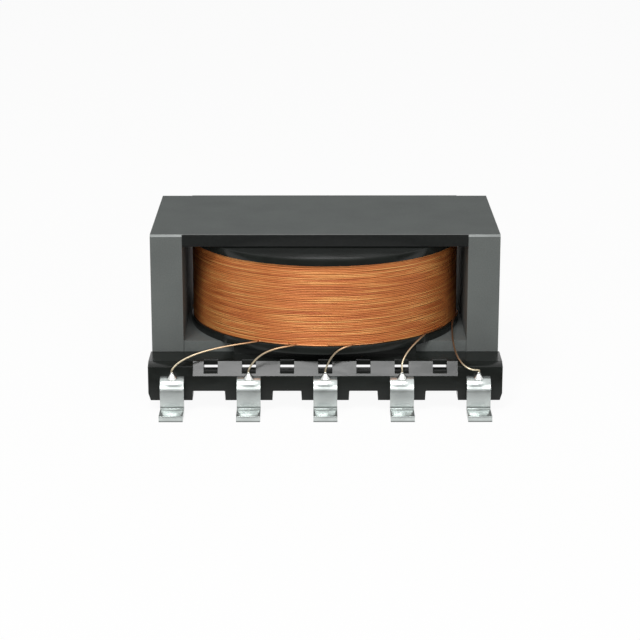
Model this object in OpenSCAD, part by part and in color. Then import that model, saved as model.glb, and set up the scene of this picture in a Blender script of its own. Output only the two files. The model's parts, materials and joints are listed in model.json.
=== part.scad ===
// Low-profile surface-mount transformer: ferrite core, moulded bobbin, copper windings and
// ten gull-wing terminals. Millimetres, +Z up. The origin is the middle of the footprint, on the
// plane of the terminals' soles.
// X runs along the terminal rows, and the front row of terminals is on the -Y side.

/* [Core] */
// Length of the core over its two side legs
core_w = 14.5; // [13.5:0.1:15]
// Depth of the core, front to back
core_d = 7.7; // [7:0.1:8.4]
// Thickness of each side leg
leg_w = 1.32; // [1.1:0.02:1.4]
// Thickness of the core's top and bottom plates
plate_t = 0.5; // [0.35:0.05:0.8]
// Clear height between the two plates
window_h = 4.08; // [3.5:0.02:4.8]
// Diameter of the round centre post
post_d = 4.7; // [4.2:0.1:5]
// Air gap ground into the centre post, at mid height
air_gap = 0.1; // [0.05:0.05:0.3]
// Bevel on the outer front and back edges of the legs
leg_bevel = 0.085; // [0.04:0.005:0.15]
// Thickness of the insulating strip on the upper plate's edges
edge_tape_t = 0.08; // [0.05:0.01:0.15]

/* [Bobbin] */
// Gap between the round flanges and the core's side legs
flange_clear = 0.15; // [0.08:0.01:0.3]
// Thickness of each flange
flange_t = 0.33; // [0.25:0.01:0.5]
// Thickness of the barrel's wall
barrel_t = 0.5; // [0.35:0.05:0.7]
// Gap all round between the centre post and the barrel
post_clear = 0.1; // [0.05:0.05:0.15]
// Play in height between the bobbin and the upper plate
bobbin_play = 0.03; // [0.02:0.01:0.1]
// Gap between the core's face and the rails
core_clear = 0.05; // [0.02:0.01:0.1]
// Width of the webs that join the lower flange to the rails
web_w = 7.6; // [6.5:0.1:8]
// Thickness of those webs
web_t = 0.35; // [0.25:0.05:0.5]
// Rise from the top of the rails to the underside of the lower flange
web_rise = 0.42; // [0.3:0.02:0.6]

/* [Terminal rails] */
// How far the rails run past the core at each end
rail_over = 0.05; // [0.02:0.01:0.3]
// Setback of the rails' outer face from the flanges' edge
rail_inset = 0.12; // [0.04:0.01:0.2]
// Height of the rails above their cut-outs
rail_h = 1.18; // [1:0.02:1.5]
// Thickness of the rails' outer wall, which holds the terminals
rail_wall = 0.97; // [0.8:0.01:1.1]
// Thickness of the rails' top deck
deck_t = 0.2; // [0.15:0.01:0.3]
// Bevel along the upper outer edge, between the end blocks
rail_bevel = 0.54; // [0.4:0.02:0.6]
// Drop of the shallow slope on top of the end blocks
end_drop = 0.15; // [0.08:0.01:0.25]
// Thickness of the wall that closes each end of a rail
end_wall = 0.6; // [0.4:0.05:0.8]
// Width of the wire slots in the rails' upper edge
slot_w = 0.58; // [0.4:0.02:0.7]
// Plastic left between a slot's floor and the terminal below it
slot_floor = 0.1; // [0.06:0.01:0.15]
// How far the deck is cut back in a slot
slot_depth = 0.61; // [0.55:0.01:0.7]
// Height of the rails' feet under their cut-outs
foot_h = 0.4; // [0.2:0.02:0.5]
// Width of the three middle feet of a rail
foot_w = 1.98; // [1.7:0.02:2.2]
// Inner half width of the outermost feet
end_foot = 0.84; // [0.7:0.02:1]
// Narrowing of each foot's side towards its sole
foot_draft = 0.02; // [0.01:0.01:0.05]
// Radius in the upper corners of the cut-outs
cut_r = 0.12; // [0.06:0.01:0.18]
// Width and height of the small bevel at the rails' lower corners
corner_bevel = [0.1, 0.3];

/* [Terminals] */
// Terminals in each row
pin_count = 5; // [5]
// Distance from the end of a rail to the middle of its last terminal
pin_margin = 1; // [0.8:0.05:1.1]
// Width of a terminal
pin_w = 0.98; // [0.8:0.02:1.1]
// Thickness of the terminal strip
pin_t = 0.25; // [0.2:0.01:0.3]
// Length of a terminal inside the rail's wall
pin_tail = 0.8; // [0.6:0.05:0.9]
// Outer radius of the shoulder bend
shoulder_r = 0.4; // [0.35:0.01:0.5]
// Outer radius of the slack curve below the shoulder
slack_r = 0.8; // [0.6:0.05:1]
// Angle at which the shoulder runs into the slack curve
slack_angle = 25; // [15:1:35]
// Inner radius of the bend above the sole
ankle_r = 0.12; // [0.05:0.01:0.2]
// Length of the flat sole in front of the ankle
sole_l = 0.83; // [0.6:0.01:1.1]
// Gap from the board up to the rails' feet
stand_off = 0.48; // [0.2:0.02:0.6]

/* [Windings] */
// Setback of the outer winding from the flanges' edge
winding_inset = 0.06; // [0.04:0.01:0.5]
// Radial thickness of the inner winding
inner_build = 1.23; // [0.8:0.01:1.5]
// Thickness of the insulation between the windings
layer_tape_t = 0.1; // [0.05:0.01:0.2]
// Gap between one wound layer and the next
layer_clear = 0.02; // [0.01:0.01:0.04]
// Height of the ridge that each turn makes
turn_pitch = 0.1; // [0.08:0.005:0.2]
// Diameter of the lead wires
lead_d = 0.09; // [0.06:0.01:0.12]
// Length of the last turn that each lead leaves, in degrees
lead_wrap = 13; // [8:1:14]
// Height of a solder tip above the terminal
solder_h = 0.26; // [0.15:0.01:0.35]
// Radius of a solder tip at its foot
solder_r = 0.22; // [0.15:0.01:0.3]

/* [Hidden] */
$fn = 96;

FERRITE = "#66696a";
MOULDING = "#262826";
COPPER = "#c8804a";
TAPE = "#232524";
POLYESTER = "#c9a24a";
TIN = "#c9cdca";

// small overlap that makes cuts run clear of a face
eps = 0.02;
// turn of one facet where a bent strip is drawn in straight steps, in degrees
arc_step = 8;

// heights, from the board up
cut_z = stand_off + foot_h;
deck_z = cut_z + rail_h;
floor_z = deck_z + web_rise;
core_z = floor_z - plate_t;
roof_z = floor_z + window_h;
core_top = roof_z + plate_t;
mid_z = floor_z + window_h / 2;
bobbin_top = roof_z - bobbin_play;
wind_z0 = floor_z + flange_t;
wind_z1 = bobbin_top - flange_t;

// radii about the centre post
bore_r = post_d / 2 + post_clear;
barrel_r = bore_r + barrel_t;
inner_r = barrel_r + layer_clear + inner_build;
inner_w = core_w - 2 * leg_w;
flange_r = inner_w / 2 - flange_clear;
winding_r = flange_r - winding_inset;

// places along the rail, and outwards from the core's face
rail_l = core_w + 2 * rail_over;
rail_reach = flange_r - rail_inset - core_d / 2;
pin_pitch = (rail_l - 2 * pin_margin) / (pin_count - 1);
end_pin_x = (pin_count - 1) / 2 * pin_pitch;
end_block_x = end_pin_x - end_foot;
wall_u = rail_reach - rail_wall;
edge_u = rail_reach - rail_bevel;
pin_top = deck_z - rail_bevel - 0.01;
slot_z = pin_top + slot_floor;

// terminal: centres of its shoulder, slack curve and ankle in the (outwards, up) plane
pin_lead_out = 0.04;
shoulder_c = [rail_reach + pin_lead_out, pin_top - shoulder_r];
slack_c = shoulder_c + (shoulder_r - slack_r) * [cos(slack_angle), sin(slack_angle)];
shin_u = slack_c[0] + slack_r;
ankle_c = [shin_u + ankle_r, pin_t + ankle_r];
tip_u = ankle_c[0] + sole_l;

// solder tip: it stands square on the shoulder, leaning outwards by this angle
solder_lean = 14;
solder_axis = [sin(solder_lean), cos(solder_lean)];
solder_tip_r = lead_d * 0.6;
solder_skirt = 0.1;
solder_top = shoulder_c + (shoulder_r + solder_h) * solder_axis;
// a lead comes down on the tip in a short straight stub
stub_top = solder_top + lead_d * solder_axis;

// Leads of one row, by terminal: where the wire leaves the winding, in degrees from the row's middle,
// then the pull at the winding and the pull at the terminal, which shape the curve between them
LEADS = [
    [-28, [-0.3, -0.5, 0.05], [0.5, 0.15, 0.9]],
    [-11.5, [-0.65, -0.6, 0.05], [0.4, 0.1, 0.9]],
    [11.5, [-0.4, -0.6, 0.05], [0.3, 0.1, 0.9]],
    [46, [0.3, -0.25, 0.2], [-0.15, 0.1, 0.8]],
    [72.5, [-0.15, -0.75, 0.2], [-1.3, -0.6, 0.1]],
];
lead_steps = 13;
wrap_steps = 4;
wire_clear = 0.01;
lead_sides = 8;

// Y of a point that lies the distance u outwards from the core's front face
function out(u) = -(core_d / 2 + u);

// points along a circular arc, one for each few degrees of its turn
function arc(c, r, from, to) =
    let (n = max(2, ceil(abs(to - from) / arc_step)))
    [for (i = [0:n]) let (a = from + (to - from) * i / n) c + r * [cos(a), sin(a)]];

function bezier(p, t) =
    pow(1 - t, 3) * p[0] + 3 * pow(1 - t, 2) * t * p[1] + 3 * (1 - t) * t * t * p[2] + pow(t, 3) * p[3];

function unit(v) = v / norm(v);

// X of terminal k, counted from 1 at the left end
function pin_x(k) = (k - (pin_count + 1) / 2) * pin_pitch;

// a prism along X over a (Y, Z) outline
module prism_x(x0, x1, outline) {
    translate([x0, 0, 0])
        rotate([90, 0, 90])
            linear_extrude(x1 - x0)
                polygon(outline);
}

// a prism that lies inwards from the plane u = u1 over an (X, Z) outline
module prism_y(u0, u1) {
    translate([0, out(u0), 0])
        rotate([90, 0, 0])
            linear_extrude(u1 - u0)
                children();
}

// puts its children on the front row, or turned round on the back row
module row(side) {
    rotate([0, 0, side == "front" ? 0 : 180])
        children();
}

// ---- core ----

// one pressed half, plate uppermost, mating faces at mid_z
module core_half(top, post_cut) {
    leg_h = window_h / 2 + plate_t;
    difference() {
        union() {
            translate([-core_w / 2, -core_d / 2, top - plate_t])
                cube([core_w, core_d, plate_t]);
            for (s = [-1, 1])
                translate([s > 0 ? core_w / 2 - leg_w : -core_w / 2, -core_d / 2, top - leg_h])
                    cube([leg_w, core_d, leg_h]);
            translate([0, 0, top - leg_h + post_cut])
                cylinder(d = post_d, h = leg_h - post_cut - plate_t / 2);
        }
        // rebate for the edge strip, and the bevels on the legs
        for (turn = [0, 180])
            rotate([0, 0, turn]) {
                translate([-inner_w / 2, -core_d / 2 - eps, top - plate_t - eps])
                    cube([inner_w, edge_tape_t + eps, plate_t + 2 * eps]);
                for (s = [-1, 1])
                    mirror([s > 0 ? 0 : 1, 0, 0])
                        prism_x(inner_w / 2, core_w / 2 + eps, [
                            [-core_d / 2 - eps, top - leg_bevel - eps],
                            [-core_d / 2 + leg_bevel + eps, top + eps],
                            [-core_d / 2 - eps, top + eps],
                        ]);
            }
    }
}

module core_upper() {
    color(FERRITE)
        core_half(core_top, air_gap / 2);
}

module core_lower() {
    color(FERRITE)
        translate([0, 0, core_z])
            mirror([0, 0, 1])
                core_half(0, air_gap / 2);
}

module edge_tape(side) {
    color(TAPE)
        row(side)
            translate([-inner_w / 2, -core_d / 2, roof_z])
                cube([inner_w, edge_tape_t, plate_t]);
}

// ---- bobbin ----

// barrel and flanges, turned about the centre post
module spool() {
    rotate_extrude()
        polygon([
            [bore_r, floor_z],
            [flange_r, floor_z],
            [flange_r, wind_z0],
            [barrel_r, wind_z0],
            [barrel_r, wind_z1],
            [flange_r, wind_z1],
            [flange_r, bobbin_top],
            [bore_r, bobbin_top],
        ]);
}

// wall and deck of a rail between the end blocks
function rail_outline() = [
    [out(core_clear), deck_z],
    [out(edge_u), deck_z],
    [out(rail_reach), deck_z - rail_bevel],
    [out(rail_reach), stand_off],
    [out(wall_u), stand_off],
    [out(wall_u), deck_z - deck_t],
    [out(core_clear), deck_z - deck_t],
];

// the same at the end blocks, which slope only a little
function end_outline() = [
    [out(core_clear), deck_z],
    [out(edge_u), deck_z],
    [out(rail_reach), deck_z - end_drop],
    [out(rail_reach), stand_off],
    [out(wall_u), stand_off],
    [out(wall_u), deck_z - deck_t],
    [out(core_clear), deck_z - deck_t],
];

// the closed outer end of a rail
function end_wall_outline() = [
    [out(core_clear), deck_z],
    [out(edge_u), deck_z],
    [out(rail_reach), deck_z - end_drop],
    [out(rail_reach), stand_off],
    [out(core_clear), stand_off],
];

// (X, Z) outline of the gap between two feet, wider at its mouth
module cutout_outline(x0, x1) {
    polygon([
        [x0 - foot_draft, stand_off - eps],
        [x0, cut_z - cut_r],
        [x1, cut_z - cut_r],
        [x1 + foot_draft, stand_off - eps],
    ]);
    translate([x0 + cut_r, cut_z - cut_r - eps])
        square([x1 - x0 - 2 * cut_r, cut_r + eps]);
    for (x = [x0 + cut_r, x1 - cut_r])
        translate([x, cut_z - cut_r])
            circle(r = cut_r);
}

// slot that lets a lead through the rail's upper edge
module wire_slot(x) {
    translate([x - slot_w / 2, out(rail_reach + eps), slot_z])
        cube([slot_w, rail_wall + 2 * eps, deck_z - deck_t - slot_z]);
    translate([x - slot_w / 2, out(rail_reach + eps), slot_z])
        cube([slot_w, slot_depth + eps, deck_z - slot_z + eps]);
}

module rail() {
    difference() {
        union() {
            prism_x(-end_block_x, end_block_x, rail_outline());
            for (s = [0, 1])
                mirror([s, 0, 0]) {
                    prism_x(end_block_x, rail_l / 2 - end_wall, end_outline());
                    prism_x(rail_l / 2 - end_wall, rail_l / 2, end_wall_outline());
                }
        }
        // gaps between the feet
        for (s = [0, 1])
            mirror([s, 0, 0]) {
                prism_y(wall_u - eps, rail_reach + eps)
                    cutout_outline(foot_w / 2, pin_pitch - foot_w / 2);
                prism_y(wall_u - eps, rail_reach + eps)
                    cutout_outline(pin_pitch + foot_w / 2, end_block_x);
            }
        // small bevels at the lower outer corners
        for (s = [0, 1])
            mirror([s, 0, 0])
                prism_y(-eps, rail_reach + eps)
                    polygon([
                        [rail_l / 2 - corner_bevel[0], stand_off - eps],
                        [rail_l / 2 + eps, stand_off - eps],
                        [rail_l / 2 + eps, stand_off + corner_bevel[1]],
                        [rail_l / 2, stand_off + corner_bevel[1]],
                    ]);
        for (k = [-3:3])
            wire_slot(k * pin_pitch / 2);
        for (k = [1:pin_count])
            pin_blank(k);
    }
}

module bobbin() {
    color(MOULDING) {
        spool();
        for (side = ["front", "back"])
            row(side) {
                rail();
                translate([-web_w / 2, out(core_clear + web_t), deck_z - deck_t])
                    cube([web_w, web_t, floor_z - deck_z + deck_t + flange_t / 2]);
            }
    }
}

// ---- terminals ----

// bent strip in the (outwards, up) plane, from the tail in the wall to the tip of the sole
function pin_outline() = concat(
    [[rail_reach - pin_tail, pin_top]],
    arc(shoulder_c, shoulder_r, 90, slack_angle),
    arc(slack_c, slack_r, slack_angle, 0),
    arc(ankle_c, ankle_r, 180, 270),
    [[tip_u, pin_t], [tip_u, 0]],
    arc(ankle_c, ankle_r + pin_t, 270, 180),
    arc(slack_c, slack_r - pin_t, 0, slack_angle),
    arc(shoulder_c, shoulder_r - pin_t, slack_angle, 90),
    [[rail_reach - pin_tail, pin_top - pin_t]]
);

module pin_blank(k) {
    prism_x(pin_x(k) - pin_w / 2, pin_x(k) + pin_w / 2, [for (p = pin_outline()) [out(p[0]), p[1]]]);
}

module pin(side, k) {
    color(TIN)
        row(side)
            pin_blank(k);
}

// fillet of solder that climbs the end of the lead
module solder(side, k) {
    rise = [for (i = [0:6]) i / 6];
    color(TIN)
        row(side)
            difference() {
                translate([pin_x(k), out(shoulder_c[0]), shoulder_c[1]])
                    rotate([solder_lean, 0, 0])
                        translate([0, 0, shoulder_r])
                            rotate_extrude()
                                polygon(concat(
                                    [[0, -solder_skirt], [solder_r, -solder_skirt]],
                                    [for (t = rise) [
                                        solder_tip_r + (solder_r - solder_tip_r) * pow(1 - t, 1.4),
                                        solder_h * t
                                    ]],
                                    [[0, solder_h]]
                                ));
                pin_blank(k);
                // keeps the fillet clear of the rail's face
                translate([pin_x(k) - pin_w / 2, out(rail_reach), pin_top - pin_w / 2])
                    cube([pin_w, pin_w, pin_w]);
            }
}

// ---- windings ----

module wound_ring(r0, r1) {
    translate([0, 0, wind_z0])
        difference() {
            cylinder(r = r1, h = wind_z1 - wind_z0);
            translate([0, 0, -eps])
                cylinder(r = r0, h = wind_z1 - wind_z0 + 2 * eps);
        }
}

module winding_inner() {
    color(COPPER)
        wound_ring(barrel_r + layer_clear, inner_r);
}

module layer_tape() {
    color(POLYESTER)
        wound_ring(inner_r + layer_clear, inner_r + layer_clear + layer_tape_t);
}

// outer winding with a ridge for each turn that shows
module winding_outer() {
    r0 = inner_r + layer_tape_t + 2 * layer_clear;
    turns = floor((wind_z1 - wind_z0) / turn_pitch);
    step = (wind_z1 - wind_z0) / turns;
    groove = step * 0.3;
    color(COPPER)
        rotate_extrude()
            polygon(concat(
                [[r0, wind_z0]],
                [for (i = [0:turns - 1], p = [[-groove, 0], [0, 0.3], [0, 0.7]])
                    [winding_r + p[0], wind_z0 + (i + p[1]) * step]],
                [[winding_r - groove, wind_z1], [r0, wind_z1]]
            ));
}

// route of a lead: along the winding, then in one curve to the terminal
function lead_path(k) =
    let (
        spec = LEADS[k - 1],
        r = winding_r + lead_d / 2 + wire_clear,
        z = wind_z0 + lead_d / 2 + wire_clear,
        on_coil = function (a) [r * sin(a), -r * cos(a), z],
        start = on_coil(spec[0]),
        end = [pin_x(k), out(stub_top[0]), stub_top[1]],
        control = [start, start + spec[1], end + spec[2], end]
    )
    concat(
        [for (i = [0:wrap_steps - 1]) on_coil(spec[0] + lead_wrap * (1 - i / wrap_steps))],
        [for (i = [0:lead_steps]) bezier(control, i / lead_steps)],
        [[pin_x(k), out(solder_top[0]), solder_top[1]]]
    );

// a tube swept along a route; each ring stands square to the route there
module tube(path, d, sides) {
    n = len(path);
    heading = [for (i = [0:n - 1]) unit(path[min(i + 1, n - 1)] - path[max(i - 1, 0)])];
    across = [for (h = heading) unit(cross(h, [0.35, 0.2, 1]))];
    points = [
        for (i = [0:n - 1], j = [0:sides - 1])
            let (a = 360 * j / sides)
            path[i] + d / 2 * (cos(a) * across[i] + sin(a) * cross(heading[i], across[i]))
    ];
    walls = [
        for (i = [0:n - 2], j = [0:sides - 1])
            let (j2 = (j + 1) % sides)
            each [
                [i * sides + j, (i + 1) * sides + j, (i + 1) * sides + j2],
                [i * sides + j, (i + 1) * sides + j2, i * sides + j2],
            ]
    ];
    caps = [[for (j = [0:sides - 1]) j], [for (j = [sides - 1:-1:0]) (n - 1) * sides + j]];
    polyhedron(points, concat(walls, caps));
}

module lead(side, k) {
    color(COPPER)
        row(side)
            tube(lead_path(k), lead_d, lead_sides);
}

core_upper();
core_lower();
bobbin();
winding_inner();
layer_tape();
winding_outer();
for (side = ["front", "back"]) {
    edge_tape(side);
    for (k = [1:pin_count]) {
        pin(side, k);
        lead(side, k);
        solder(side, k);
    }
}
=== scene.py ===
import json
import math

import bmesh
import bpy
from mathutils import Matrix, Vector, noise


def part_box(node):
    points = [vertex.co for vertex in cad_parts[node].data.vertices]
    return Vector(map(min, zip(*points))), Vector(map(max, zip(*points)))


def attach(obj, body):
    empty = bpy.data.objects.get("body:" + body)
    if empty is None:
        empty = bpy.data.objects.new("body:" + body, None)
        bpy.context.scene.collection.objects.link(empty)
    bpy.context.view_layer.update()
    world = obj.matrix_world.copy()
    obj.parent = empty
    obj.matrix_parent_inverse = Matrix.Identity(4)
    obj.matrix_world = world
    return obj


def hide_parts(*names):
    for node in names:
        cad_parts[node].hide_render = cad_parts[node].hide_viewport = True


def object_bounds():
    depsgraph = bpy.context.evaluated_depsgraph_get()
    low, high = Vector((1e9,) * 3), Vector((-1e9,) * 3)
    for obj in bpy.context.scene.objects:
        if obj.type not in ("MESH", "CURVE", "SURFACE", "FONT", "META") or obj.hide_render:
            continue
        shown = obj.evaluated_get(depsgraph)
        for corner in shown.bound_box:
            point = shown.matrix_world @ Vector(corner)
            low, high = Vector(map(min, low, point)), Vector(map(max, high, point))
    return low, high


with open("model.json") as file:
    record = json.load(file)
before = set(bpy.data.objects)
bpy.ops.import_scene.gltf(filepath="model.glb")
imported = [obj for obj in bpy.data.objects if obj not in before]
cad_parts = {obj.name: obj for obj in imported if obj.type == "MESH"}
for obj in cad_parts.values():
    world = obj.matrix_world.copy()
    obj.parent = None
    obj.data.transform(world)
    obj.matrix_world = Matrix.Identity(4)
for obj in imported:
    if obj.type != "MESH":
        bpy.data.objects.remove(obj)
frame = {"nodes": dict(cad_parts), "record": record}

mm = 0.001
cadLow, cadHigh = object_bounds()  # the part's box, before anything is dressed
nodes = frame["nodes"]


def inMm(length):  # a length of the frame, without the noise in its last digits
    return round(length / mm, 4)


# Places that the finishes and pieces go by, read off the solids, in mm: how far out the terminals'
# tips and the flanges reach, how high the rails' feet stand, and the terminals' pitch.
tipOut = inMm(-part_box("pin_front_1")[0].y)
flangeOut = inMm(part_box("bobbin")[1].y)
feetUp = inMm(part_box("bobbin")[0].z)
pinPitch = inMm(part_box("pin_front_2")[0].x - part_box("pin_front_1")[0].x)
print("terminals' tips, flanges, feet and pitch in mm:", tipOut, flangeOut, feetUp, pinPitch)


# Tools for the materials.

def linearColour(hexCode):
    channels = [int(hexCode[i:i + 2], 16) / 255 for i in (1, 3, 5)]
    return [c / 12.92 if c <= 0.04045 else ((c + 0.055) / 1.055) ** 2.4 for c in channels] + [1.0]


def setStops(elements, stops):  # the places along a ramp, with their colours
    while len(elements) > 1:
        elements.remove(elements[-1])
    for i, (place, hexCode) in enumerate(stops):
        element = elements[0] if i == 0 else elements.new(place)
        element.position = place
        element.color = linearColour(hexCode)


def addNode(tree, kind, settings=None, links=None):
    made = tree.nodes.new("ShaderNode" + kind)
    for name, value in (settings or {}).items():
        if name == "stops":
            setStops(made.color_ramp.elements, value)
        elif isinstance(name, int) or name in made.inputs:
            made.inputs[name].default_value = value
        else:
            setattr(made, name, value)
    for name, source in (links or {}).items():
        tree.links.new(source, made.inputs[name])
    return made


def newMaterial(name):
    material = bpy.data.materials.new(name)
    material.use_nodes = True
    material.node_tree.nodes.clear()
    return material, material.node_tree


def perMm(size):  # texture scale for a pattern of that size in mm, in metres of object space
    return 1 / (size * mm)


noiseLow, noiseHigh = 0.3, 0.7  # nearly all of a noise lies between these

# In each material, the sizes of its patterns and the depth of its relief are in mm. Grain, skin,
# rolling lines and frost are finer on the real thing, and are drawn as coarse as they need to show.

# Pressed and sintered manganese-zinc ferrite, ground on its faces: a dense dark grey ceramic with
# a fine matt grain and faint broad clouds.
ferrite = {"tones": [(0.35, "#535655"), (0.65, "#5d615f")], "grain": 0.05, "cloud": 1.6,
           "clouding": 0.35, "roughness": 0.8, "ior": 1.22, "relief": 0.25, "depth": 0.004}
# its rounded and bevelled edges, rubbed smoother by tumbling, and painted paler as a highlight
ferriteEdgeAndHighlight = {**ferrite, "tones": [(0.35, "#757978"), (0.65, "#868a88")], "grain": 0.04,
               "cloud": 0.6, "roughness": 0.42, "ior": 1.45}


def makeFerrite(name, look):
    material, tree = newMaterial(name)
    place = addNode(tree, "TexCoord").outputs["Object"]
    grain = addNode(tree, "TexNoise", {"Scale": perMm(look["grain"]), "Detail": 3.0},
                    {"Vector": place})
    cloud = addNode(tree, "TexNoise", {"Scale": perMm(look["cloud"]), "Detail": 2.0},
                    {"Vector": place})
    both = addNode(tree, "Mix", {"data_type": "FLOAT", "Factor": look["clouding"]},
                   {"A": grain.outputs["Fac"], "B": cloud.outputs["Fac"]})
    tone = addNode(tree, "ValToRGB", {"stops": look["tones"]}, {"Fac": both.outputs["Result"]})
    bump = addNode(tree, "Bump", {"Strength": look["relief"], "Distance": look["depth"] * mm},
                   {"Height": grain.outputs["Fac"]})
    shader = addNode(tree, "BsdfPrincipled", {"Roughness": look["roughness"], "IOR": look["ior"]},
                     {"Base Color": tone.outputs["Color"], "Normal": bump.outputs["Normal"]})
    addNode(tree, "OutputMaterial", links={"Surface": shader.outputs["BSDF"]})
    return material


# Glass-filled phenolic, injection moulded: black with a slight green cast, a satin skin from the
# tool, and the faint streaks that the flowing glass leaves, drawn out along the rails.
phenolic = {"tones": [(noiseLow, "#161816"), (noiseHigh, "#1b1e1c")], "flow": 0.35,
            "drawnOut": (0.25, 1.0, 1.0), "swirl": 0.6, "skin": 0.03, "smoothest": 0.13,
            "roughest": 0.25, "ior": 1.34, "relief": 0.2, "depth": 0.003}


def makePhenolic():
    material, tree = newMaterial("mouldedPhenolic")
    place = addNode(tree, "TexCoord").outputs["Object"]
    stretched = addNode(tree, "Mapping", {"Scale": phenolic["drawnOut"]}, {"Vector": place})
    flow = addNode(tree, "TexNoise", {"Scale": perMm(phenolic["flow"]), "Detail": 3.0,
                                      "Distortion": phenolic["swirl"]},
                   {"Vector": stretched.outputs["Vector"]})
    skin = addNode(tree, "TexNoise", {"Scale": perMm(phenolic["skin"]), "Detail": 2.0},
                   {"Vector": place})
    tone = addNode(tree, "ValToRGB", {"stops": phenolic["tones"]}, {"Fac": flow.outputs["Fac"]})
    gloss = addNode(tree, "MapRange", {"From Min": noiseLow, "From Max": noiseHigh,
                                       "To Min": phenolic["smoothest"],
                                       "To Max": phenolic["roughest"]},
                    {"Value": flow.outputs["Fac"]})
    bump = addNode(tree, "Bump", {"Strength": phenolic["relief"],
                                  "Distance": phenolic["depth"] * mm},
                   {"Height": skin.outputs["Fac"]})
    shader = addNode(tree, "BsdfPrincipled", {"IOR": phenolic["ior"]},
                     {"Base Color": tone.outputs["Color"], "Roughness": gloss.outputs["Result"],
                      "Normal": bump.outputs["Normal"]})
    addNode(tree, "OutputMaterial", links={"Surface": shader.outputs["BSDF"]})
    return material


# Copper wire under baked polyurethane enamel: a reddish metal seen through a thin amber varnish,
# so each turn has its own tone, with small patches left by drawing the wire.
copper = {"tones": [(0.1, "#a95b2c"), (0.5, "#bf733b"), (0.92, "#d19656")], "drawn": 0.16,
          "drawnShare": 0.25, "roughness": 0.45, "metal": 0.35}


def makeEnamelledCopper():
    material, tree = newMaterial("enamelledCopper")
    place = addNode(tree, "TexCoord").outputs["Object"]
    turn = addNode(tree, "Attribute", {"attribute_name": "tone"})
    drawn = addNode(tree, "TexNoise", {"Scale": perMm(copper["drawn"]), "Detail": 2.0},
                    {"Vector": place})
    both = addNode(tree, "Mix", {"data_type": "FLOAT", "Factor": copper["drawnShare"]},
                   {"A": turn.outputs["Fac"], "B": drawn.outputs["Fac"]})
    tone = addNode(tree, "ValToRGB", {"stops": copper["tones"]}, {"Fac": both.outputs["Result"]})
    shader = addNode(tree, "BsdfPrincipled", {"Metallic": copper["metal"],
                                              "Roughness": copper["roughness"]},
                     {"Base Color": tone.outputs["Color"]})
    addNode(tree, "OutputMaterial", links={"Surface": shader.outputs["BSDF"]})
    return material


# The same wire where it was dipped in the solder pot: the enamel burns off and bright tin wets
# the copper, more so towards the terminal.
dippedWire = {"tones": [(0.0, "#b87d52"), (0.3, "#b39372"), (0.8, "#bdb199")], "roughness": 0.4}


def makeTinnedEnd():
    material, tree = newMaterial("tinnedWireEnd")
    dipped = addNode(tree, "Attribute", {"attribute_name": "dipped"})
    tone = addNode(tree, "ValToRGB", {"stops": dippedWire["tones"]},
                   {"Fac": dipped.outputs["Fac"]})
    shader = addNode(tree, "BsdfPrincipled", {"Metallic": 1.0,
                                              "Roughness": dippedWire["roughness"]},
                     {"Base Color": tone.outputs["Color"]})
    addNode(tree, "OutputMaterial", links={"Surface": shader.outputs["BSDF"]})
    return material


# Phosphor bronze strip, stamped and formed, then plated with matt tin: a soft greenish white metal
# with fine rolling lines along the strip, small dull patches, and grey lines of painted shade and
# dark reflection: under the shoulder, inside the bend above the sole and at the edges of the cut
# end.
tin = {"tones": [(0.35, "#b9bfbd"), (0.6, "#c3c9c7")], "pressed": "#6f7472", "patch": 0.5,
       "line": 0.03, "rolledOut": (1.0, 0.06, 0.06), "smoothest": 0.19, "roughest": 0.27,
       "metal": 0.82, "relief": 0.12, "depth": 0.002}
# the terminals' strip, in mm: its thickness, the length of the sole, the inner radius of the bend
# above it in the solid, the share of that radius that is kept here, as the strip is bent more
# tightly, and the rounding of its stamped edges
strip = {"thick": 0.25, "sole": 0.83, "bend": 0.12, "bendKept": 0.25, "edge": 0.01}
shinOut = tipOut - strip["sole"] - strip["bend"]
# the lines of painted shade across a terminal: how far out and up each lies in mm, and how strong
# it is; then the half width to which a line is solid, and that at which it has faded
paintedShadeLines = {"places": [(shinOut - 0.0625, 1.22, 0.5), (shinOut, 0.31, 0.9),
                        (tipOut - 0.0475, strip["thick"], 0.7), (tipOut, 0.0, 1.0)],
             "solid": 0.03, "faded": 0.07}


def paintedShadeShare(tree, place):  # up to 1 on a line of painted shade, 0 away from it
    apart = addNode(tree, "SeparateXYZ", links={"Vector": place})
    outward = addNode(tree, "Math", {"operation": "ABSOLUTE"}, {0: apart.outputs["Y"]})
    profile = addNode(tree, "CombineXYZ", links={"Y": outward.outputs[0],
                                                 "Z": apart.outputs["Z"]})
    darkest = None
    for out, up, strength in paintedShadeLines["places"]:
        gap = addNode(tree, "VectorMath", {"operation": "DISTANCE", 1: (0, out * mm, up * mm)},
                      {0: profile.outputs["Vector"]})
        share = addNode(tree, "MapRange", {"From Min": paintedShadeLines["solid"] * mm,
                                           "From Max": paintedShadeLines["faded"] * mm,
                                           "To Min": strength, "To Max": 0.0},
                        {"Value": gap.outputs["Value"]}).outputs["Result"]
        if darkest:
            share = addNode(tree, "Math", {"operation": "MAXIMUM"},
                            {0: darkest, 1: share}).outputs[0]
        darkest = share
    return darkest


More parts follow.
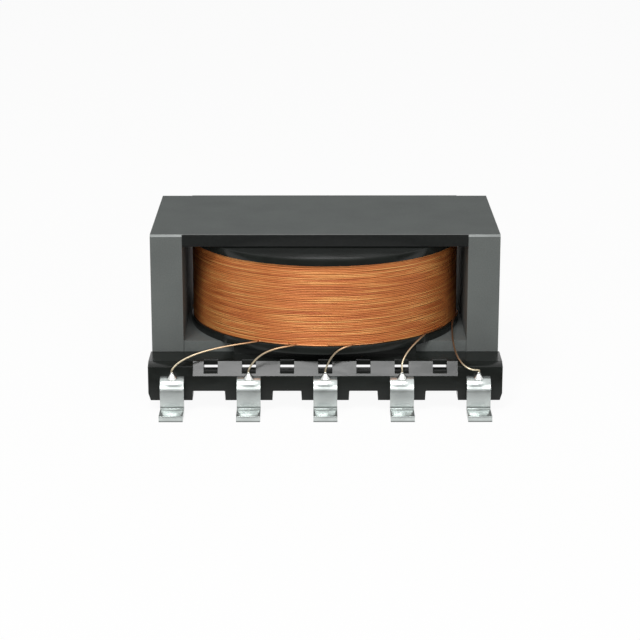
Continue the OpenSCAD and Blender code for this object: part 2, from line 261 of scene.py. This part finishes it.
def makeTinPlateAndPaintedShade():
    material, tree = newMaterial("mattTinPlateAndPaintedShade")
    place = addNode(tree, "TexCoord").outputs["Object"]
    patch = addNode(tree, "TexNoise", {"Scale": perMm(tin["patch"]), "Detail": 4.0},
                    {"Vector": place})
    alongStrip = addNode(tree, "Mapping", {"Scale": tin["rolledOut"]}, {"Vector": place})
    line = addNode(tree, "TexNoise", {"Scale": perMm(tin["line"]), "Detail": 2.0},
                   {"Vector": alongStrip.outputs["Vector"]})
    tone = addNode(tree, "ValToRGB", {"stops": tin["tones"]}, {"Fac": patch.outputs["Fac"]})
    # painted shade: the tin turns grey along the lines where shade and dark reflections fall
    colour = addNode(tree, "MixRGB", {"Color2": linearColour(tin["pressed"])},
                     {"Color1": tone.outputs["Color"], "Fac": paintedShadeShare(tree, place)})
    gloss = addNode(tree, "MapRange", {"From Min": noiseLow, "From Max": noiseHigh,
                                       "To Min": tin["smoothest"], "To Max": tin["roughest"]},
                    {"Value": patch.outputs["Fac"]})
    bump = addNode(tree, "Bump", {"Strength": tin["relief"], "Distance": tin["depth"] * mm},
                   {"Height": line.outputs["Fac"]})
    shader = addNode(tree, "BsdfPrincipled", {"Metallic": tin["metal"]},
                     {"Base Color": colour.outputs["Color"], "Roughness": gloss.outputs["Result"],
                      "Normal": bump.outputs["Normal"]})
    addNode(tree, "OutputMaterial", links={"Surface": shader.outputs["BSDF"]})
    return material


# Tin solder that froze on the terminal: brighter than the plate, and slightly frosted.
solderMetal = {"colour": "#dcdedb", "roughness": 0.22, "frost": 0.04, "relief": 0.25,
               "depth": 0.004}


def makeSolder():
    material, tree = newMaterial("frozenSolder")
    place = addNode(tree, "TexCoord").outputs["Object"]
    frost = addNode(tree, "TexNoise", {"Scale": perMm(solderMetal["frost"]), "Detail": 3.0},
                    {"Vector": place})
    bump = addNode(tree, "Bump", {"Strength": solderMetal["relief"],
                                  "Distance": solderMetal["depth"] * mm},
                   {"Height": frost.outputs["Fac"]})
    shader = addNode(tree, "BsdfPrincipled", {"Metallic": 1.0,
                                              "Roughness": solderMetal["roughness"],
                                              "Base Color": linearColour(solderMetal["colour"])},
                     {"Normal": bump.outputs["Normal"]})
    addNode(tree, "OutputMaterial", links={"Surface": shader.outputs["BSDF"]})
    return material


# Adhesive polyester film: thin and glossy, with the slight ripple of its adhesive under it. It is
# black on the core's edges and amber between the windings.
film = {"ripple": 0.12, "roughness": 0.3, "ior": 1.4, "relief": 0.15, "depth": 0.004,
        "black": [(noiseLow, "#121413"), (noiseHigh, "#191b1a")],
        "amber": [(noiseLow, "#b08636"), (noiseHigh, "#c79a48")]}


def makeFilm(colour):
    material, tree = newMaterial(colour + "PolyesterFilm")
    place = addNode(tree, "TexCoord").outputs["Object"]
    ripple = addNode(tree, "TexNoise", {"Scale": perMm(film["ripple"]), "Detail": 2.0},
                     {"Vector": place})
    tone = addNode(tree, "ValToRGB", {"stops": film[colour]}, {"Fac": ripple.outputs["Fac"]})
    bump = addNode(tree, "Bump", {"Strength": film["relief"], "Distance": film["depth"] * mm},
                   {"Height": ripple.outputs["Fac"]})
    shader = addNode(tree, "BsdfPrincipled", {"Roughness": film["roughness"],
                                              "IOR": film["ior"]},
                     {"Base Color": tone.outputs["Color"], "Normal": bump.outputs["Normal"]})
    addNode(tree, "OutputMaterial", links={"Surface": shader.outputs["BSDF"]})
    return material


finishes = {
    "ferrite": makeFerrite("groundFerrite", ferrite),
    "moulding": makePhenolic(),
    "enamelled_copper": makeEnamelledCopper(),
    "edge_strip": makeFilm("black"),
    "polyester_tape": makeFilm("amber"),
    "tinned_strip": makeTinPlateAndPaintedShade(),
    "solder": makeSolder(),
}
tumbledEdgeAndHighlight = makeFerrite("tumbledFerriteEdgeAndPaintedHighlight", ferriteEdgeAndHighlight)
tinnedEnd = makeTinnedEnd()
print("materials made:", len(finishes) + 2)


# Tools for the pieces. Corners closer than weldWithin, in mm, are one, faces that turn by less
# than flatWithin degrees are one flat face, and an edge is sharp from sharpFrom degrees on. A
# corner of a solid lies on a face of it when it is nearer than onFace, in mm.
meshCare = {"weldWithin": 0.0005, "flatWithin": 0.5, "sharpFrom": 32, "areaWeight": 70,
            "onFace": 0.002}


def softenEdges(piece, width):
    weld = piece.modifiers.new("weld", "WELD")
    weld.merge_threshold = meshCare["weldWithin"] * mm
    flat = piece.modifiers.new("flatFaces", "DECIMATE")
    flat.decimate_type = "DISSOLVE"
    flat.angle_limit = math.radians(meshCare["flatWithin"])
    if width:
        rounding = piece.modifiers.new("edgeWear", "BEVEL")
        rounding.width = width * mm
        rounding.segments = 2
        rounding.limit_method = "ANGLE"
        rounding.angle_limit = math.radians(meshCare["sharpFrom"])
    piece.modifiers.new("faceNormals", "WEIGHTED_NORMAL").weight = meshCare["areaWeight"]


def plainShape(mesh):  # an editable copy of a solid's mesh, with each flat face in one piece
    shape = bmesh.new()
    shape.from_mesh(mesh)
    bmesh.ops.remove_doubles(shape, verts=shape.verts, dist=meshCare["weldWithin"] * mm)
    bmesh.ops.dissolve_limit(shape, angle_limit=math.radians(meshCare["flatWithin"]),
                             verts=shape.verts, edges=shape.edges)
    return shape


def placePiece(name, mesh, material, smooth=True):
    mesh.materials.append(material)
    mesh.polygons.foreach_set("use_smooth", [smooth] * len(mesh.polygons))
    piece = bpy.data.objects.new(name, mesh)
    bpy.context.scene.collection.objects.link(piece)
    return piece


def makePiece(name, points, faces, material, smooth=True):
    mesh = bpy.data.meshes.new(name)
    mesh.from_pydata(points, [], faces)
    return placePiece(name, mesh, material, smooth)


def inReach(distances, reach):  # whether all of them lie from 0 to that far, in mm
    return all(-meshCare["onFace"] < d < reach + meshCare["onFace"] for d in distances)


def standFor(piece, node):
    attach(piece, "root")
    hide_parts(node)


# The solids that stay: the edge strips, the solder tips, the inner winding and its tape.

# the solids that get a finer piece further down, and the rounding of a film's cut edge in mm
redrawn = ("core_", "bobbin", "pin_", "winding_outer", "lead_")
filmEdge = 0.008
slotOf = {part["node"]: part["material_slot"] for part in frame["record"]["subparts"]}
stays = [name for name in nodes if not name.startswith(redrawn)]

for name in stays:
    piece = nodes[name]
    piece.data.materials.clear()
    piece.data.materials.append(finishes[slotOf[name]])
    if name.startswith(("edge_tape_", "solder_")):
        piece.data.polygons.foreach_set("use_smooth", [True] * len(piece.data.polygons))
        softenEdges(piece, filmEdge if name.startswith("edge_tape_") else None)
print("solids dressed:", len(stays))


# The core's halves. Tumbling rounds every edge by that many mm, except close to the joint, where
# the two are ground to meet. A face that leans from all three axes takes the tumbled finish, with
# its painted highlight.
coreWear = {"rounding": 0.03, "segments": 3, "keptAtJoint": 0.12, "square": 0.995}


def wearCore(name, joint):
    shape = plainShape(nodes[name].data)
    sharp = math.radians(meshCare["sharpFrom"])
    worn = [edge for edge in shape.edges if edge.calc_face_angle(0) > sharp
            and any(abs(corner.co.z - joint) > coreWear["keptAtJoint"] * mm
                    for corner in edge.verts)]
    for edge in shape.edges:
        edge.smooth = edge in worn or edge.calc_face_angle(0) < sharp
    bmesh.ops.bevel(shape, geom=worn, offset=coreWear["rounding"] * mm,
                    segments=coreWear["segments"], profile=0.5, affect="EDGES",
                    clamp_overlap=True)
    # the leaning faces take the tumbled edge finish, painted paler as a highlight
    for face in shape.faces:
        face.material_index = int(max(abs(c) for c in face.normal) < coreWear["square"])
    mesh = bpy.data.meshes.new(name + "_worn")
    shape.to_mesh(mesh)
    shape.free()
    piece = placePiece(name + "_worn", mesh, finishes["ferrite"])
    piece.data.materials.append(tumbledEdgeAndHighlight)
    normals = piece.modifiers.new("faceNormals", "WEIGHTED_NORMAL")
    normals.weight, normals.keep_sharp = meshCare["areaWeight"], True
    standFor(piece, name)
    return piece


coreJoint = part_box("core_upper")[0].z
cores = [wearCore(name, coreJoint) for name in ("core_upper", "core_lower")]
print("core halves worn:", sum(len(piece.data.polygons) for piece in cores), "faces")


# The bobbin, a copy of its solid with three small corrections. In mm: the rounding that the mould
# leaves on every edge, the rails' setback from the flanges' edge, the height of their feet and of
# the rails above them, the width and height of the bevel in the solid, and how much further out
# its upper edge lies here, the thickness of the deck in the solid and how much thicker it is here,
# the width of the middle feet and the inner half width of the last ones, and the radius of the
# gaps' upper corners in the solid, with the share of it that is kept here.
rail = {"edge": 0.02, "inset": 0.12, "feet": 0.4, "high": 1.18, "bevel": 0.54, "steeper": 0.19,
        "deck": 0.2, "thicker": 0.04, "footWide": 1.98, "lastFoot": 0.84, "gapCorner": 0.12,
        "cornerKept": 0.3}
railOut = flangeOut - rail["inset"]
gapTop = feetUp + rail["feet"]
railTop = gapTop + rail["high"]
bevelFoot = railTop - rail["bevel"]
deckUnder = railTop - rail["deck"]
# the sides of the gaps between the feet: how far across each lies, and which way the gap is
gapSides = [(rail["footWide"] / 2, 1), (pinPitch - rail["footWide"] / 2, -1),
            (pinPitch + rail["footWide"] / 2, 1), (2 * pinPitch - rail["lastFoot"], -1)]


def steepenBevel(corner, outwards, up):
    rise = (up - bevelFoot) / rail["bevel"]
    aside = abs(outwards - (railOut - rail["bevel"] * rise))
    if inReach([up - bevelFoot], rail["bevel"]) and aside < meshCare["onFace"]:
        corner.co.y += math.copysign(rail["steeper"] * rise * mm, corner.co.y)


def tightenGapCorner(corner, across, down):
    for side, gapWay in gapSides:
        along = (across - side) * gapWay
        if inReach([along, down], rail["gapCorner"]):
            corner.co.x = math.copysign((side + gapWay * along * rail["cornerKept"]) * mm,
                                        corner.co.x)
            corner.co.z = (gapTop - down * rail["cornerKept"]) * mm


def shapeBobbin():
    mesh = nodes["bobbin"].data.copy()
    for corner in mesh.vertices:
        across, outwards, up = (abs(c) / mm for c in corner.co)
        steepenBevel(corner, outwards, up)
        if abs(up - deckUnder) < meshCare["onFace"]:
            corner.co.z -= rail["thicker"] * mm
        tightenGapCorner(corner, across, gapTop - up)
    mesh.materials.clear()
    piece = placePiece("bobbin_moulding", mesh, finishes["moulding"])
    softenEdges(piece, rail["edge"])
    standFor(piece, "bobbin")
    return piece


bobbin = shapeBobbin()
print("bobbin shaped:", len(bobbin.data.polygons), "faces")


# The terminals, copies of their solids with the bend above the sole drawn tighter.

def formPin(name):
    mesh = nodes[name].data.copy()
    for corner in mesh.vertices:
        ahead, above = abs(corner.co.y) / mm - shinOut, corner.co.z / mm - strip["thick"]
        if inReach([ahead, above], strip["bend"]):
            corner.co.y = math.copysign((shinOut + ahead * strip["bendKept"]) * mm, corner.co.y)
            corner.co.z = (strip["thick"] + above * strip["bendKept"]) * mm
    mesh.materials.clear()
    piece = placePiece(name + "_strip", mesh, finishes["tinned_strip"])
    softenEdges(piece, strip["edge"])
    standFor(piece, name)
    return piece


pins = [formPin(name) for name in sorted(nodes) if name.startswith("pin_")]
print("terminals formed:", len(pins))


# The outer winding, a last layer of fine wire. The wire's thickness is in mm, and varnished is how
# much of its roundness still shows. The turns stray by drift mm up and down, and sag by up to sag
# mm inwards, of which evenSag is the same all round. Their tones have a broad and a fine change.
# Each change has its own speed round the coil and from turn to turn. The layers underneath close
# the coil behind the last one: they lie back by a share of the wire's thickness.
winding = {"wire": 0.07, "turns": 47, "around": 180, "sides": 6, "varnished": 0.5,
           "drift": 0.02, "sag": 0.02, "evenSag": 0.6, "sagFrom": Vector((9.1, 3.3, 5.7)),
           "stray": {"around": 2.6, "perTurn": 0.7},
           "middleTone": 0.5, "broad": 0.8, "fine": 0.25, "finer": 3.1,
           "streaks": {"around": 2.4, "perTurn": 0.9},
           "underBack": 0.75, "underTone": 0.1}


def tubeFaces(rings, sides):
    return [(i * sides + j, i * sides + (j + 1) % sides,
             (i + 1) * sides + (j + 1) % sides, (i + 1) * sides + j)
            for i in range(rings - 1) for j in range(sides)]


def setPointValue(piece, name, values):
    layer = piece.data.attributes.new(name, "FLOAT", "POINT")
    layer.data.foreach_set("value", values)


def noiseSpot(outward, turn, speed):  # a place in the noise that goes round with the coil
    return outward * speed["around"] + Vector((0, 0, turn * speed["perTurn"]))


def turnTone(outward, turn):
    spot = noiseSpot(outward, turn, winding["streaks"])
    tone = (winding["middleTone"] + winding["broad"] * noise.noise(spot)
            + winding["fine"] * noise.noise(spot * winding["finer"]))
    return min(max(tone, 0), 1)


def layTurns(low, high):  # the rings of points along the wire, and the tone of each point
    thick, sides, turns = winding["wire"] * mm, winding["sides"], winding["turns"]
    lowest, highest = low.z + thick / 2, high.z - thick / 2
    flattened = thick / 2 * winding["varnished"]
    points, tones = [], []
    for i in range(winding["around"] * (turns + 2) + 1):
        turn = i / winding["around"]
        angle = 2 * math.pi * turn
        outward = Vector((math.cos(angle), math.sin(angle), 0))
        spot = noiseSpot(outward, turn, winding["stray"])
        rise = min(max(turn - 1, 0), turns) / turns  # flat first and last turns at the flanges
        height = lowest + (highest - lowest) * rise + noise.noise(spot) * winding["drift"] * mm
        height = min(max(height, lowest), highest)
        # the coil is a little slacker at its middle height than at the flanges
        uneven = (1 - winding["evenSag"]) * noise.noise(spot + winding["sagFrom"])
        slack = math.sin(math.pi * rise) ** 2 * (winding["evenSag"] + uneven)
        radius = high.x - flattened - slack * winding["sag"] * mm
        for j in range(sides):
            side = 2 * math.pi * (j + 0.5) / sides
            points.append(outward * (radius + math.cos(side) * flattened)
                          + Vector((0, 0, height + math.sin(side) * thick / 2)))
        tones += [turnTone(outward, turn)] * sides
    return points, tones


def windOuter():
    low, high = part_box("winding_outer")
    around = winding["around"]
    points, tones = layTurns(low, high)
    faces = tubeFaces(len(points) // winding["sides"], winding["sides"])
    # the layers underneath, as a closed drum
    radius = high.x - winding["wire"] * mm * winding["underBack"]
    bottom = len(points)
    top = bottom + around
    for height in (low.z, high.z):
        for i in range(around):
            angle = 2 * math.pi * i / around
            points.append(Vector((math.cos(angle) * radius, math.sin(angle) * radius, height)))
    tones += [winding["underTone"]] * (2 * around)
    faces += [(bottom + i, bottom + (i + 1) % around, top + (i + 1) % around, top + i)
              for i in range(around)]
    faces += [tuple(range(top, top + around)), tuple(reversed(range(bottom, top)))]
    piece = makePiece("winding_outer_turns", points, faces, finishes["enamelled_copper"])
    setPointValue(piece, "tone", tones)
    standFor(piece, "winding_outer")
    return piece


coil = windOuter()
print("outer winding wound:", len(coil.data.polygons), "faces")


# The leads: how finely each is drawn, its thickness at the coil and at the terminal in mm, and
# the share of its length that the solder pot didn't reach.
leadLook = {"sides": 10, "between": 4, "bare": 0.07, "tinned": 0.078, "dipStart": 0.2}
noLeadRuns = Vector((0.35, 0.2, 1))  # a direction that no lead runs in, to set its rings against


def leadLine(name):  # middles of the rings of a solid's lead, from the coil to the terminal
    shape = plainShape(nodes[name].data)
    ring = set(max(shape.faces, key=lambda face: len(face.verts)).verts)
    line, done = [], set()
    while ring:
        line.append(sum((corner.co for corner in ring), Vector()) / len(ring))
        done |= ring
        ring = {edge.other_vert(corner) for corner in ring for edge in corner.link_edges} - done
    shape.free()
    return line if line[0].z > line[-1].z else line[::-1]


def smoothLine(line, between):  # a curve through the points, in that many steps from each to next
    ends = [line[0] * 2 - line[1]] + line + [line[-1] * 2 - line[-2]]
    made = []
    for a, b, c, d in zip(ends, ends[1:], ends[2:], ends[3:]):
        for step in range(between):
            t = step / between
            made.append((b * 2 + (c - a) * t + (a * 2 - b * 5 + c * 4 - d) * t ** 2
                         + (b * 3 - a - c * 3 + d) * t ** 3) / 2)
    return made + [line[-1]]


def drawLead(name):
    line = smoothLine(leadLine(name), leadLook["between"])
    sides, last = leadLook["sides"], len(line) - 1
    points, dipped = [], []
    for i, spot in enumerate(line):
        ahead = (line[min(i + 1, last)] - line[max(i - 1, 0)]).normalized()
        across = ahead.cross(noLeadRuns).normalized()
        upward = ahead.cross(across)
        dip = max((i / last - leadLook["dipStart"]) / (1 - leadLook["dipStart"]), 0)
        radius = (leadLook["bare"] + (leadLook["tinned"] - leadLook["bare"]) * dip) / 2 * mm
        for j in range(sides):
            side = 2 * math.pi * j / sides
            points.append(spot + (across * math.cos(side) + upward * math.sin(side)) * radius)
        dipped += [dip] * sides
    faces = tubeFaces(len(line), sides)
    faces += [tuple(reversed(range(sides))), tuple(range(len(points) - sides, len(points)))]
    piece = makePiece(name + "_wire", points, faces, tinnedEnd)
    setPointValue(piece, "dipped", dipped)
    standFor(piece, name)
    return piece


leads = [drawLead(name) for name in sorted(nodes) if name.startswith("lead_")]
print("leads drawn:", len(leads))


# The camera: its lens in mm, where it stands in mm, and how far it looks down and to the side in
# degrees.
camera = {"lens": 114.86, "place": (-0.368, -85.94, 26.53), "pitch": 15.73, "yaw": 0.107}


def placeCamera():
    data = bpy.data.cameras.new("camera")
    data.lens = camera["lens"]
    data.sensor_width = 36
    data.clip_start = 1 * mm
    data.clip_end = 20
    eye = bpy.data.objects.new("camera", data)
    eye.location = [c * mm for c in camera["place"]]
    eye.rotation_euler = (math.radians(90 - camera["pitch"]), 0, -math.radians(camera["yaw"]))
    bpy.context.scene.collection.objects.link(eye)
    bpy.context.scene.camera = eye


placeCamera()

# The floor, half its width in metres. To the eye it is white with a share of the real shadow. In
# what shines it is the same close to the part, and further in front, between near and far in mm,
# it falls off to dim, as a table does into the dim room behind the camera.
floorLook = {"half": 3.0, "diffuse": "#ececea", "keepShadow": 0.06, "dim": 0.05, "near": 8.0,
             "far": 10.2}


def seenDirectly(tree):  # 1 for what the camera sees, straight or in a reflection
    path = addNode(tree, "LightPath").outputs
    shown = path["Is Camera Ray"]
    for kind in ("Is Glossy Ray", "Is Transmission Ray"):
        either = addNode(tree, "Math", {"operation": "MAXIMUM"}, {0: shown, 1: path[kind]})
        shown = either.outputs[0]
    return shown


def layFloor():
    material, tree = newMaterial("paleStudioFloor")
    paper = addNode(tree, "BsdfDiffuse", {"Color": linearColour(floorLook["diffuse"])})
    place = addNode(tree, "TexCoord").outputs["Object"]
    apart = addNode(tree, "SeparateXYZ", links={"Vector": place})
    ahead = addNode(tree, "MapRange", {"From Min": -floorLook["near"] * mm,
                                       "From Max": -floorLook["far"] * mm,
                                       "To Min": 1.0, "To Max": floorLook["dim"]},
                    {"Value": apart.outputs["Y"]})
    toCamera = addNode(tree, "LightPath").outputs["Is Camera Ray"]
    level = addNode(tree, "Mix", {"data_type": "FLOAT", "B": 1.0},
                    {"A": ahead.outputs["Result"], "Factor": toCamera})
    white = addNode(tree, "Emission", {"Color": (1, 1, 1, 1)},
                    {"Strength": level.outputs["Result"]})
    seen = addNode(tree, "MixShader", {"Fac": floorLook["keepShadow"]},
                   {1: white.outputs[0], 2: paper.outputs[0]})
    mixed = addNode(tree, "MixShader", links={"Fac": seenDirectly(tree), 1: paper.outputs[0],
                                              2: seen.outputs[0]})
    addNode(tree, "OutputMaterial", links={"Surface": mixed.outputs[0]})
    half = floorLook["half"]
    floor = makePiece("floor", [(-half, -half, 0), (half, -half, 0), (half, half, 0),
                                (-half, half, 0)], [(0, 1, 2, 3)], material, smooth=False)
    floor.location.z = cadLow.z


layFloor()

# The softboxes: the direction each stands in, in degrees, its distance and size in mm, and how
# bright its face is.
softboxes = {
    "highKey": {"azimuth": -12, "elevation": 52, "distance": 200, "size": (100, 84),
                "radiance": 12.0},
    "lowFront": {"azimuth": 0, "elevation": 12, "distance": 260, "size": (300, 24),
                 "radiance": 2.6},
    "leftFill": {"azimuth": -27, "elevation": 18, "distance": 260, "size": (90, 60),
                 "radiance": 6.0},
    "rightFill": {"azimuth": 27, "elevation": 18, "distance": 260, "size": (90, 60),
                  "radiance": 7.0},
}


def hangSoftbox(name, box):
    data = bpy.data.lights.new(name, "AREA")
    data.shape = "RECTANGLE"
    data.size, data.size_y = (s * mm for s in box["size"])
    data.energy = box["radiance"] * math.pi * data.size * data.size_y
    azimuth, elevation = math.radians(box["azimuth"]), math.radians(box["elevation"])
    back = Vector((math.sin(azimuth) * math.cos(elevation),
                   -math.cos(azimuth) * math.cos(elevation), math.sin(elevation)))
    lamp = bpy.data.objects.new(name, data)
    lamp.location = (cadLow + cadHigh) / 2 + back * box["distance"] * mm
    lamp.rotation_euler = back.to_track_quat("Z", "Y").to_euler()
    bpy.context.scene.collection.objects.link(lamp)


for name, box in softboxes.items():
    hangSoftbox(name, box)

roomLight = 0.2  # what the pale room adds from all sides


def lightRoom():
    world = bpy.data.worlds.new("studio")
    world.use_nodes = True
    tree = world.node_tree
    tree.nodes.clear()
    ambient = addNode(tree, "Background", {"Color": (1, 1, 1, 1), "Strength": roomLight})
    white = addNode(tree, "Background", {"Color": (1, 1, 1, 1), "Strength": 1.0})
    mixed = addNode(tree, "MixShader", links={"Fac": seenDirectly(tree), 1: ambient.outputs[0],
                                              2: white.outputs[0]})
    addNode(tree, "OutputWorld", links={"Surface": mixed.outputs[0]})
    bpy.context.scene.world = world


lightRoom()
bpy.context.scene.view_settings.view_transform = "Standard"
print("studio set")
